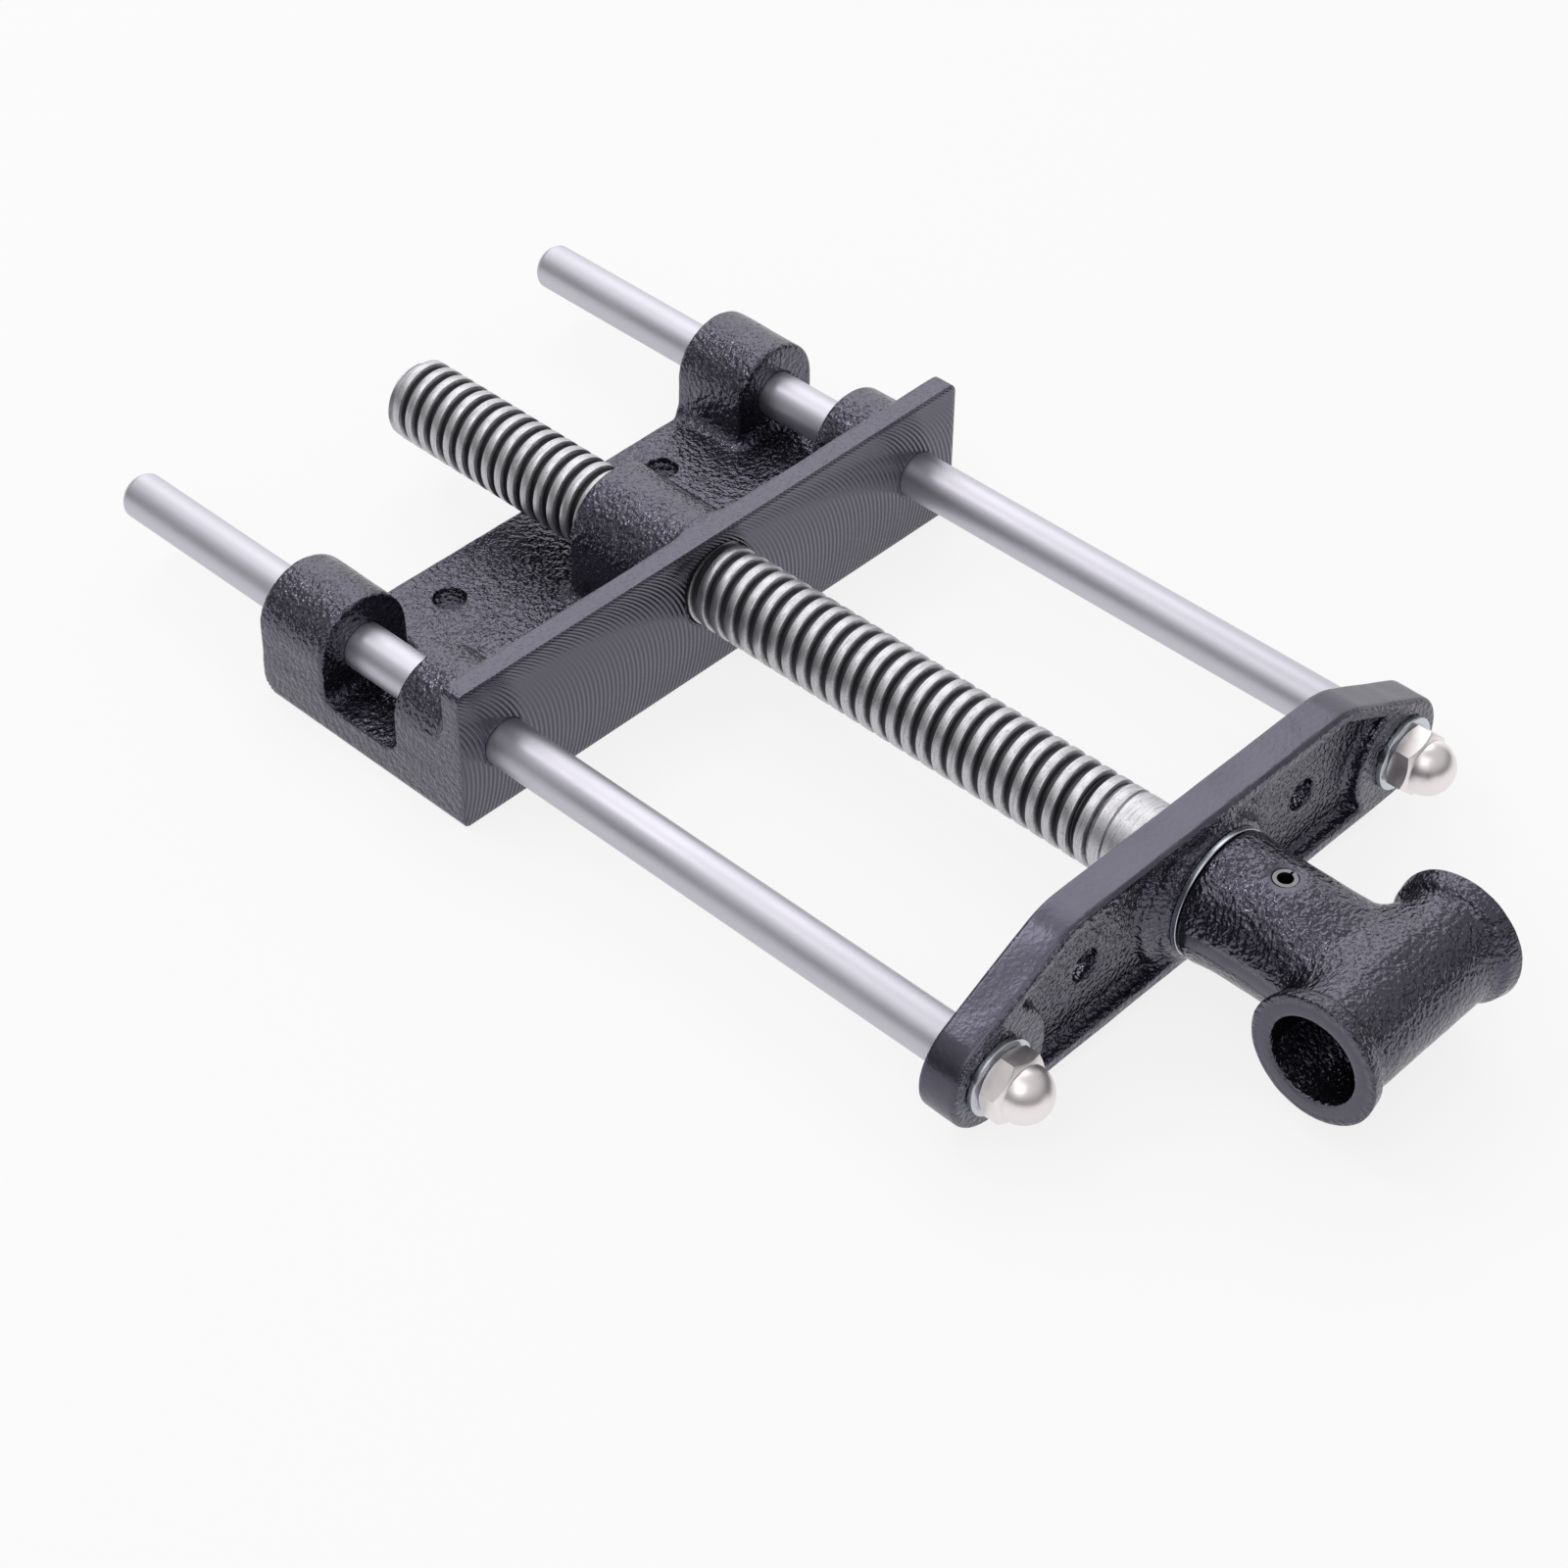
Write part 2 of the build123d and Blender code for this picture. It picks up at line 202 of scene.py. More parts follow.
# %% Mesh of a distance field
def net_of(field, low, high, step):
    """Points and four-sided faces of the surface where the field is nothing."""
    axes = [np.arange(a - 2 * step, b + 3 * step, step) for a, b in zip(low, high)]
    grid = field(*np.meshgrid(*axes, indexing="ij"))
    cells = tuple(n - 1 for n in grid.shape)
    total, count = np.zeros(cells + (3,)), np.zeros(cells)
    faces = []
    number = np.arange(np.prod(cells)).reshape(cells)
    for axis in range(3):
        f0, f1 = [np.take(grid, range(k, grid.shape[axis] - 1 + k), axis) for k in (0, 1)]
        crossed = (f0 < 0) != (f1 < 0)
        place = np.argwhere(crossed)
        where = place.astype(float)
        where[:, axis] += f0[crossed] / (f0[crossed] - f1[crossed])
        b, c = (axis + 1) % 3, (axis + 2) % 3
        around = []
        for back_b, back_c in ((1, 1), (0, 1), (0, 0), (1, 0)):
            cell = place.copy()
            cell[:, b] -= back_b
            cell[:, c] -= back_c
            index = tuple(cell.T)
            np.add.at(total, index, where)
            np.add.at(count, index, 1)
            around.append(number[index])
        quad = np.stack(around, axis=1)
        rising = f0[crossed] < 0
        faces.append(np.where(rising[:, None], quad, quad[:, ::-1]))
    used = count > 0
    points = np.array([a[0] for a in axes]) + step * total[used] / count[used][:, None]
    order = np.cumsum(used.ravel()) - 1
    return settle(points, field, step), order[np.concatenate(faces)]


def settle(points, field, step, times=4):
    """Each point moves along the slope of the field by the distance that is left. The slope
    is measured over a short reach to each side, and taken as a half at least."""
    reach, least_slope = 0.02, 0.5
    for _ in range(times):
        here = field(*points.T)
        slope = np.stack([
            field(*(points + reach * side).T) - field(*(points - reach * side).T)
            for side in np.eye(3)], axis=1) / (2 * reach)
        slope /= np.maximum((slope ** 2).sum(axis=1, keepdims=True), least_slope ** 2)
        points = points - slope * np.clip(here, -step / 2, step / 2)[:, None]
    return points


def step_of(millimetres):
    return millimetres


def ball(x, y, z):
    """Distance to a ball of 5 mm radius, to try the net on."""
    return ring(ring(x, y, 0.0), z, 5.0)


tried, _ = net_of(ball, (-5.0, -5.0, -5.0), (5.0, 5.0, 5.0), 0.8)
print("on a ball, %d points lie within %.5f mm of the surface" % (
    len(tried), np.abs(ball(*tried.T)).max()))

# %% [markdown]
# The bracket is one L-shaped casting. The base lies on the bench, the upright plate faces
# the jaw, and behind the plate stand four lugs for the rods and a boss that is the nut. A
# lug is a round bar that goes straight down into the base. All of them are joined with
# fillets, the foot of the back is bevelled, and last the whole is cut to its outer box:
# that leaves the plate's front face flat, as the mill leaves it. The top of the plate was
# ground a little, so each point keeps a number that says how far the sand's grain is gone.

# %% Bracket
BASE_TOP, PLATE_BACK_Y, PLATE_TOP = 9.0, -54.5, 42.0
BASE_BACK_Y, LUG_BACK_Y, BEVEL_Y = 14.0, 15.5, 12.5
LUG_RADIUS, BOSS_RADIUS, LUG_FRONT_Y = 14.5, 16.0, -58.0
ROD_BORE, NUT_BORE = 6.58, 11.6
BOLT_X, BOLT_HOLE = 39.0, 4.25
FILLET, CAST_EDGE = 4.0, 1.2


def lug(x, y, z, centre, height, radius, y_from, y_to):
    """A round top at the given height, straight sides below it, and rounded ends."""
    above = np.maximum(z - height, 0)
    return both(ring(x - centre, above, radius), between(y, y_from, y_to), CAST_EDGE)


def bracket_field(x, y, z):
    """Base and plate joined by a fillet, with lugs and boss on them, cut to the outer box and
    bored for the rods, the bolts and the screw."""
    body = join(z - BASE_TOP, y - PLATE_BACK_Y, FILLET)
    body = both(body, y - BASE_BACK_Y, CAST_EDGE)
    for centre in (-ROD_X, ROD_X):
        front = lug(x, y, z, centre, ROD_Z, LUG_RADIUS, LUG_FRONT_Y, -35.5)
        rear = lug(x, y, z, centre, ROD_Z, LUG_RADIUS, -8.5, LUG_BACK_Y)
        body = join(join(body, front, FILLET), rear, FILLET)
    boss = lug(x, y, z, 0.0, SCREW_Z, BOSS_RADIUS, LUG_FRONT_Y, -21.5)
    body = join(body, boss, FILLET)
    body = both(body, (y - z - BEVEL_Y) / math.sqrt(2), 1.5)
    body = body + 0.12 * ripple(x, y, z, 5.0)
    sides = both(between(x, -HALF_WIDTH, HALF_WIDTH), z - PLATE_TOP, 2.5)
    body = both(body, both(sides, -z, 1.0), 0.6)
    body = both(body, between(y, FACE_Y, LUG_BACK_Y), 0.5)
    for centre in (-ROD_X, ROD_X):
        body = cut(body, ring(x - centre, z - ROD_Z, ROD_BORE), 0.6)
    for centre in (-BOLT_X, BOLT_X):
        body = cut(body, ring(x - centre, y, BOLT_HOLE), 0.7)
    return cut(body, ring(x, z - SCREW_Z, NUT_BORE), 1.3)


def plate_top(x, y, z):
    """The narrow top of the plate is a little more than half ground."""
    return 0.6 * (z > 41.6) * (y < -54.0)


points, quads = net_of(
    bracket_field, (-HALF_WIDTH, FACE_Y, 0.0), (HALF_WIDTH, LUG_BACK_Y, PLATE_TOP), step_of(0.8))
bracket = add_piece("bracket_casting", points, quads)
stand_in(bracket, "bracket", "bracket")
keep_ground(bracket, plate_top)

# %% [markdown]
# The jaw is a flat casting with a straight top over the screw and shoulders that slope down
# to a round end at each rod. Its front is hollowed between a rim and a round pad for each
# rod. A low disc stands in the hollow round the screw, and a cone on it carries the washer.
# The hollows have the wide fillets that let the pattern come out of the sand, and the
# outside of the rim is ground smooth.

# %% Front jaw
JAW_TOP, CROWN_X, END_RADIUS = 48.3, 50.75, 14.5
RIM_WIDTH, WEB_Y, PAD_RADIUS = 4.0, -216.5, 17.0
DISC_RADIUS, DISC_Y = 22.4, -218.5
CONE_RADIUS, CONE_SPREAD = 18.0, 0.6
JOURNAL_BORE, STUD_HOLE = 9.08, 5.25
WOOD_SCREW_X, WOOD_SCREW_HOLE = 40.0, 4.25


def jaw_outline(x, z):
    """Distance to the outline seen from the front: flat below, round at each end, a straight
    slope that touches the end's circle and runs up to the crown, and a straight top."""
    u, v = np.abs(x) - ROD_X, z - ROD_Z
    span = math.hypot(ROD_X - CROWN_X, JAW_TOP - ROD_Z)
    lean = math.atan2(JAW_TOP - ROD_Z, ROD_X - CROWN_X) - math.asin(END_RADIUS / span)
    out, up = math.sin(lean), math.cos(lean)
    slope = u * out + v * up
    in_round = (u * up - v * out > 0) | (slope < 0)
    end = np.where((u > 0) & in_round, np.sqrt(u * u + v * v), np.maximum(slope, -v))
    return both(end - END_RADIUS, z - JAW_TOP, 2.5)


def jaw_front(x, y, z, outline):
    """Distance to what lies behind the front of the jaw: rim, web, disc and the washer's cone."""
    pads = ring(np.abs(x) - ROD_X, z - ROD_Z, PAD_RADIUS)
    hollow = both(both(outline + RIM_WIDTH, -pads, 2.0), y - WEB_Y, 2.2)
    front = cut(JAW_FRONT_Y - y, hollow, 1.0)
    disc = both(ring(x, z - SCREW_Z, DISC_RADIUS), DISC_Y - y, 0.9)
    wall = ring(x, z - SCREW_Z, CONE_RADIUS) - CONE_SPREAD * (y - COLLAR_Y)
    cone = both(wall / math.hypot(1.0, CONE_SPREAD), COLLAR_Y - y, 0.5)
    return join(join(front, disc, 1.5), cone, 2.0)


def jaw_field(x, y, z):
    """The outline, a tenth of a millimetre inside its box and as uneven, pushed along the
    screw behind its front, with the holes for the screw, the rods and the wood screws."""
    outline = jaw_outline(x, z)
    front = jaw_front(x, y, z, outline)
    body = both(outline + 0.1 * ripple(x, y, z, 4.0) + 0.1, front, 1.3)
    body = both(body, y - JAW_BACK_Y, 0.6)
    body = cut(body, ring(x, z - SCREW_Z, JOURNAL_BORE), 0.3)
    body = cut(body, ring(np.abs(x) - ROD_X, z - ROD_Z, STUD_HOLE), 0.3)
    return cut(body, ring(np.abs(x) - WOOD_SCREW_X, z - SCREW_Z, WOOD_SCREW_HOLE), 0.8)


def rim_outside(x, y, z):
    """Ground all through to 0.35 mm inside the outline, and not at all from 0.75 mm on."""
    return (jaw_outline(x, z) + 0.75) / 0.4


points, quads = net_of(
    jaw_field, (-HALF_WIDTH, COLLAR_Y, 5.0), (HALF_WIDTH, JAW_BACK_Y, JAW_TOP), step_of(0.6))
front_jaw = add_piece("jaw_casting", points, quads)
stand_in(front_jaw, "front_jaw", "jaw")
keep_ground(front_jaw, rim_outside)

# %% [markdown]
# The handle socket is a cast tee. The barrel takes the end of the screw and widens towards
# the cross tube, which a wooden handle slides through. Each end of the tube has a thick rim
# that tapers inwards. The two halves of the mould meet along the sides of the barrel, and
# the seam was ground off there, as the ends of the tube and the place of the pin were.

# %% Handle socket
BARREL_RADIUS, BARREL_SPREAD, BARREL_DROP = 16.5, 6.0, 3.5
TUBE_RADIUS, TUBE_WALL, TUBE_END = 14.5, 3.0, 28.2
RIM_FROM, RIM_HEIGHT, RIM_TAPER = 23.2, 3.0, 0.24
SOCKET_BORE, BORE_DEPTH, PIN_HOLE = 9.02, 31.1, 3.05


def barrel_field(x, y, w):
    """A round bar that becomes an ellipse as it nears the tube: wider by the square of the
    share of the way, lower by a smooth step of it, and a little thicker at the washer."""
    start = THRUST_Y - 18.0
    t = np.clip((start - y) / (start - HANDLE_Y), 0, 1)
    swell = 0.6 * np.clip(1 - (THRUST_Y - 3.0 - y) / 7.0, 0, 1) ** 2
    wide = BARREL_RADIUS + BARREL_SPREAD * t * t + swell
    high = BARREL_RADIUS - BARREL_DROP * t * t * (3 - 2 * t) + swell
    barrel = (np.sqrt((x / wide) ** 2 + (w / high) ** 2) - 1) * np.minimum(wide, high)
    return both(barrel, between(y, HANDLE_Y, THRUST_Y), CAST_EDGE)


def socket_field(x, y, z):
    """The barrel, the tube and its two rims, with the handle's bore, the screw's bore and the
    pin's hole."""
    w, side = z - SCREW_Z, np.abs(x)
    across = ring(y - HANDLE_Y, w, TUBE_RADIUS)
    tube = both(across, side - TUBE_END, 1.0)
    rim = across - RIM_HEIGHT + RIM_TAPER * (TUBE_END - side)
    rim = both(rim, between(side, RIM_FROM, TUBE_END), 1.1)
    body = join(join(barrel_field(x, y, w), tube, 4.0), rim, 2.6)
    body = body + 0.08 * ripple(x, y, z, 3.0) + 0.08
    body = both(body, side - TUBE_END, 1.0)
    body = cut(body, across + TUBE_WALL, 0.9)
    screw_bore = both(ring(x, w, SOCKET_BORE), THRUST_Y - BORE_DEPTH - y, 0.2)
    return cut(cut(body, screw_bore, 0.3), ring(x, y - PIN_Y, PIN_HOLE), 0.6)


def socket_ground(x, y, z):
    """Ground places: the flat ends of the tube, a band 5 mm wide along the mould's seam on
    each side of the barrel, and a spot round each end of the pin."""
    ends = (np.abs(x) - 27.9) / 0.2
    seam = np.minimum(3.0 - np.abs(z - SCREW_Z + 1.0), (y + 262.0) / 2)
    pin = (5.4 - np.hypot(x, y - PIN_Y)) / 1.5
    return np.maximum(ends, np.maximum(np.minimum(seam, 24.0 - np.abs(x)), pin))


points, quads = net_of(
    socket_field, (-TUBE_END, -288.9, 8.0), (TUBE_END, THRUST_Y, 43.0), step_of(0.5))
socket = add_piece("socket_casting", points, quads)
stand_in(socket, "handle_socket", "screw")
keep_ground(socket, socket_ground)

# %% [markdown]
# A turned piece is a profile carried round an axis. Its points are radius and place along
# the axis, and small arcs at the corners are the edges that the lathe tool breaks.

# %% Turned pieces
def soften(profile, radius, steps=4):
    """Each inner corner of the profile becomes an arc: a curve that starts and ends the
    given distance from the corner, less than halfway along a short side, and bends to it."""
    p = np.array(profile, float)
    before, corner, after = p[:-2], p[1:-1], p[2:]
    back, on = before - corner, after - corner
    size_back = np.linalg.norm(back, axis=1, keepdims=True)
    size_on = np.linalg.norm(on, axis=1, keepdims=True)
    most = 0.45
    start = (corner + back * np.minimum(radius / size_back, most))[:, None]
    end = (corner + on * np.minimum(radius / size_on, most))[:, None]
    t = np.linspace(0, 1, steps)[None, :, None]
    arc = (1 - t) ** 2 * start + 2 * t * (1 - t) * corner[:, None] + t ** 2 * end
    return np.vstack([p[:1], arc.reshape(-1, 2), p[-1:]])


def net_faces(rows, columns):
    """Faces between neighbouring rows and columns of a net of points."""
    i, j = np.meshgrid(np.arange(rows - 1), np.arange(columns - 1), indexing="ij")
    a = (i * columns + j).ravel()
    return np.stack([a, a + 1, a + columns + 1, a + columns], axis=1)


def round_angles(sides):
    """Equal angles once round, with the first again at the end."""
    return 2 * math.pi * (np.arange(sides + 1) % sides) / sides


def turned(profile, x, z, sides=96):
    """The profile's radius is carried round the axis (x, z), and its place goes along Y. The
    profile runs from -Y to +Y along the outside."""
    angle = round_angles(sides)
    radius, along = profile[:, 0, None], profile[:, 1, None]
    points = np.stack([
        x + radius * np.cos(angle), along + 0 * angle, z - radius * np.sin(angle)], axis=2)
    return points.reshape(-1, 3), net_faces(len(profile), sides + 1)


print("a softened corner has", len(soften([(0, 0), (1, 0), (1, 1)], 0.2)) - 2, "points")

# %% [markdown]
# A guide rod is a drawn bar, 13 mm thick. Its front end is turned down to a 10 mm stud that
# goes through the jaw and takes the washer and the nut, and its tail is chamfered so that
# it finds the lug's bore.

# %% Guide rods
STUD_RADIUS, ROD_RADIUS = 5.0, 6.5
STUD_TIP_Y, ROD_TAIL_Y = -229.1, 81.5


def guide_rod(name, x):
    """A bar with a round-edged tail and a thinner stud where the jaw is clamped."""
    profile = soften([
        (0, STUD_TIP_Y), (4.6, STUD_TIP_Y), (STUD_RADIUS, -228.6), (STUD_RADIUS, JAW_BACK_Y),
        (ROD_RADIUS, JAW_BACK_Y), (ROD_RADIUS, 80.0), (5.4, ROD_TAIL_Y), (0, ROD_TAIL_Y)], 0.4)
    points, faces = turned(profile, x, ROD_Z)
    return stand_in(add_piece(name + "_bar", points, faces), name, "jaw")


rods = [guide_rod("guide_rod_left", -ROD_X), guide_rod("guide_rod_right", ROD_X)]

# %% [markdown]
# The washers are punched from sheet, so they are flat rings with slightly rounded edges.
# Two lie under the cap nuts, and a larger one takes the push of the screw between the jaw
# and the socket.

# %% Washers
def washer(name, node, body, x, z, inner, outer, y_front, y_back, edge):
    """A flat ring. Its profile goes once round the metal, so the skin closes on itself."""
    middle = (inner + outer) / 2
    loop = [(middle, y_front), (outer, y_front), (outer, y_back),
            (inner, y_back), (inner, y_front), (middle, y_front)]
    points, faces = turned(soften(loop, edge), x, z)
    return stand_in(add_piece(name, points, faces), node, body)


washers = [
    washer("washer_ring_" + side, "rod_washer_" + side, "jaw",
           x, ROD_Z, STUD_HOLE, 10.0, SEAT_Y, JAW_FRONT_Y, 0.25)
    for side, x in (("left", -ROD_X), ("right", ROD_X))]
thrust_ring = washer("thrust_ring", "thrust_washer", "screw",
                     0.0, SCREW_Z, JOURNAL_BORE, 17.0, -223.8, -222.3, 0.2)

# %% [markdown]
# A cap nut is a hexagon whose corners were turned down by a cone, and a dome. Seen along a
# ray from its axis at some angle, the hexagon's flat lies at its half width divided by the
# cosine of the angle from the middle of that flat. Each ray follows the flat up to the
# place where the cone cuts it, so the curved line of the chamfer is exact.

# %% Cap nuts
NUT_SIDES, DOME_ROWS = 144, 24
HALF_FLAT, NUT_TOP_Y, NUT_BORE_RADIUS = 8.0, -228.1, 5.02
CHAMFER_FROM, CHAMFER_SLOPE = 7.6, math.tan(math.radians(34.0))
NECK_RADIUS, DOME_RADIUS = 7.2, 7.25


def cap_nut(side, x, turn):
    """Rows of points from the seat to the tip of the dome, one column for each angle. Along
    each ray the chamfer drops by its slope times the way from its start to the flat."""
    angle = round_angles(NUT_SIDES)
    off = (angle + math.pi / 6) % (math.pi / 3) - math.pi / 6
    wall = HALF_FLAT / np.cos(off)
    drop = (wall - CHAMFER_FROM) * CHAMFER_SLOPE
    neck_y = NUT_TOP_Y - 0.4
    rows = [(0, SEAT_Y), (NUT_BORE_RADIUS, SEAT_Y), (CHAMFER_FROM, SEAT_Y), (wall, SEAT_Y - drop),
            (wall, NUT_TOP_Y + drop), (CHAMFER_FROM, NUT_TOP_Y), (7.4, NUT_TOP_Y - 0.05),
            (NECK_RADIUS, NUT_TOP_Y - 0.2), (NECK_RADIUS, neck_y)]
    rows += [(DOME_RADIUS * np.cos(c), neck_y - DOME_RADIUS * np.sin(c))
             for c in np.linspace(0, math.pi / 2, DOME_ROWS)]
    radius = np.array([r + 0 * angle for r, _ in rows[::-1]])
    along = np.array([y + 0 * angle for _, y in rows[::-1]])
    spin = angle + math.radians(turn)
    points = np.stack([x + radius * np.cos(spin), along, ROD_Z - radius * np.sin(spin)], axis=2)
    faces = net_faces(len(rows), NUT_SIDES + 1)
    piece = add_piece("cap_nut_skin_" + side, points.reshape(-1, 3), faces, 24.0)
    return stand_in(piece, "cap_nut_" + side, "jaw")


nuts = [cap_nut("left", -ROD_X, -14.0), cap_nut("right", ROD_X, 12.0)]

# %% [markdown]
# The screw is the piece that the eye goes to. Its thread has flat crests, nearly half a
# pitch wide, and square grooves, a right-hand thread of 5 mm pitch. The surface is a profile
# on a helix: one number goes across a single groove and crest, the other goes round and
# round the axis, moving along it by one pitch each turn. Points that would run past either
# end of the thread are held at the end, where the weld closes them into a ring. Near the jaw
# the groove runs out over a little more than three turns: it fills from its jaw side, so
# that a thin line is left last.

# %% Lead screw
PITCH, CREST_RADIUS, GROOVE_DEPTH = 5.0, 11.5, 1.8
SCREW_FRONT_Y, PLAIN_Y, SCREW_TAIL = -254.9, -206.0, 55.4
JOURNAL_RADIUS, TAIL_RADIUS = 9.0, 9.5
THREAD_PHASE = -2.45
RUNOUT_END, RUNOUT_TURNS = -182.0, 3.4
SCREW_SIDES = 96


def groove_profile():
    """Across one pitch: crest, steep flank, groove floor and flank, with small arcs."""
    share = np.array([0.00, 0.02, 0.05, 0.46, 0.49, 0.51, 0.57, 0.61, 0.86, 0.91, 0.98])
    drop = np.array([0.14, 0.03, 0.00, 0.00, 0.03, 0.14, 0.86, 1.00, 1.00, 0.86, 0.26])
    return share, drop * GROOVE_DEPTH


def thread_radius(along, share, drop):
    """The crest's radius less the groove's drop, times how far the groove is open. That
    starts above 1, so that the groove stays whole at first, and falls as the run-out goes on,
    fastest on the jaw side of the groove. The tail is cut by a cone of 45 degrees."""
    whole, jaw_side_haste, last_share = 1.15, 3.6, 0.91
    filled = np.clip((RUNOUT_END - along) / (RUNOUT_TURNS * PITCH), 0, 1)
    jaw_side = (last_share - share[None, :]).clip(0, 1)
    open_part = whole - filled * (whole + jaw_side_haste * jaw_side)
    radius = CREST_RADIUS - drop[None, :] * np.clip(open_part, 0, 1)
    radius = np.minimum(radius, TAIL_RADIUS + (SCREW_TAIL - along))
    radius = np.where(along <= PLAIN_Y, CREST_RADIUS, np.maximum(radius, TAIL_RADIUS))
    return np.where(along >= SCREW_TAIL, TAIL_RADIUS, radius)


def thread():
    """The groove's profile on a helix. Each row is one step round, and its last point is the
    first of the row one turn later."""
    share, drop = groove_profile()
    turns = int((SCREW_TAIL - PLAIN_Y) / PITCH) + 3
    step = np.arange(turns * SCREW_SIDES + 1)
    angle = 2 * math.pi * (step % SCREW_SIDES) / SCREW_SIDES
    way = step[:, None] / SCREW_SIDES + share[None, :]
    along = PLAIN_Y - PITCH + PITCH * way + THREAD_PHASE
    radius = thread_radius(along, share, drop)
    held = np.clip(along, PLAIN_Y, SCREW_TAIL)
    points = np.stack([
        radius * np.cos(angle)[:, None], held, SCREW_Z - radius * np.sin(angle)[:, None]], axis=2)
    number = np.arange(len(step) * len(share)).reshape(-1, len(share))
    wrapped = np.hstack([number[:-SCREW_SIDES], number[SCREW_SIDES:, :1]])
    a, b = wrapped[:-1], wrapped[1:]
    faces = np.stack([a[:, :-1], b[:, :-1], b[:, 1:], a[:, 1:]], axis=2)
    return points.reshape(-1, 3), faces.reshape(-1, 4)


def lead_screw():
    """The thread, a turned profile for the shoulder and journal, and a flat disc as tail."""
    front = soften([
        (0, SCREW_FRONT_Y), (8.2, SCREW_FRONT_Y), (JOURNAL_RADIUS, -254.0),
        (JOURNAL_RADIUS, -209.9), (CREST_RADIUS, -209.9), (CREST_RADIUS, PLAIN_Y)], 0.3)
    tail = np.array([(TAIL_RADIUS, SCREW_TAIL), (6.0, SCREW_TAIL), (0, SCREW_TAIL)])
    points, faces = thread()
    for profile in (front, tail):
        more_points, more_faces = turned(profile, 0.0, SCREW_Z, SCREW_SIDES)
        faces = np.vstack([faces, more_faces + len(points)])
        points = np.vstack([points, more_points])
    return points, faces


screw = add_piece("lead_screw_thread", *lead_screw(), 30.0)
stand_in(screw, "lead_screw", "screw")

# %% [markdown]
# A procedural finish is a small graph of nodes that works out a colour, a gloss or a height
# from the place on the surface. The places are Object coordinates, in metres, so a noise
# with a scale of 1000 has grains of about a millimetre.

# %% Helpers for finishes
def put(tree, kind, values=None, **settings):
    """Adds a node. Each value goes to the input with that name or number: a number, a colour,
    or the output of another node, which is linked."""
    node = tree.nodes.new("ShaderNode" + kind)
    for key, value in settings.items():
        setattr(node, key, value)
    for key, value in (values or {}).items():
        if isinstance(value, bpy.types.NodeSocket):
            tree.links.new(value, node.inputs[key])
        else:
            node.inputs[key].default_value = value
    return node.outputs[0]


def maths(tree, operation, *values):
    """One step of arithmetic on numbers or outputs."""
    return put(tree, "Math", dict(enumerate(values)), operation=operation)


def plus(tree, a, b):
    """The sum of two numbers or outputs."""
    return maths(tree, "ADD", a, b)


def times(tree, a, b):
    """The product of two numbers or outputs."""
    return maths(tree, "MULTIPLY", a, b)


def axes_of(tree, place):
    """The three numbers of a place."""
    split = tree.nodes.new("ShaderNodeSeparateXYZ")
    tree.links.new(place, split.inputs[0])
    return split.outputs


def finish(name, metallic, roughness, specular=0.5):
    """A new material: its node tree, its shader and the places that its patterns are worked
    out from."""
    material = bpy.data.materials.new(name)
    material.use_nodes = True
    tree = material.node_tree
    shader = tree.nodes["Principled BSDF"]
    shader.inputs["Metallic"].default_value = metallic
    shader.inputs["Roughness"].default_value = roughness
    shader.inputs["Specular IOR Level"].default_value = specular
    place = tree.nodes.new("ShaderNodeTexCoord").outputs["Object"]
    return material, tree, shader, place


def stretch(tree, place, scale):
    """The same places, with each axis multiplied by its own number."""
    return put(tree, "Mapping", {"Vector": place, "Scale": scale}, vector_type="POINT")


def grain(tree, place, scale, detail, roughness):
    """Noise between 0 and 1, mostly near the middle, with finer grains in it by the detail."""
    return put(tree, "TexNoise", {
        "Vector": place, "Scale": scale, "Detail": detail, "Roughness": roughness})


def spread(tree, value, low, high, to_low, to_high):
    """Carries low..high to to_low..to_high and holds what lies outside."""
    return put(tree, "MapRange", {"Value": value, "From Min": low, "From Max": high,
                                  "To Min": to_low, "To Max": to_high})


def relief(tree, shader, height, depth):
    """Bump: a height of 1 stands out by the depth, in metres."""
    bump = put(tree, "Bump", {"Height": height, "Distance": depth, "Strength": 1.0})
    tree.links.new(bump, shader.inputs["Normal"])


def tint(tree, shader, value, dark, light):
    """Base colour between two colours, by a value from 0 to 1."""
    ramp = tree.nodes.new("ShaderNodeMix")
    ramp.data_type = "RGBA"
    colours = [i for i in ramp.inputs if i.type == "RGBA"]
    colours[0].default_value, colours[1].default_value = (*dark, 1), (*light, 1)
    tree.links.new(value, ramp.inputs["Factor"])
    out = [o for o in ramp.outputs if o.type == "RGBA"][0]
    tree.links.new(out, shader.inputs["Base Color"])


def dress(material, pieces):
    """Gives each piece this material alone."""
    for piece in pieces:
        piece.data.materials.clear()
        piece.data.materials.append(material)
    print("%s: %s" % (material.name, ", ".join(piece.name for piece in pieces)))

# %% [markdown]
# The castings are painted as they come from the sand: a black enamel that follows every
# grain. It is nearly black where nothing shines in it and lilac-grey where it mirrors the
# window. The skin has smooth grains of somewhat more than a millimetre, with faint finer
# ones on them and a few pits. Where the points say that the casting is ground, hardly any
# of them is left. The plate's front was milled instead: under the paint it has the arcs
# that a cutter leaves as it moves sideways, so each arc is part of a circle of the cutter's
# radius, and the next lies one feed further on.

# %% Black enamel on cast iron
GRAIN_DEPTH = 0.00065
CUTTER_RADIUS, CUTTER_HEIGHT, CUTTER_FEED = 32.0, 14.0, 1.45


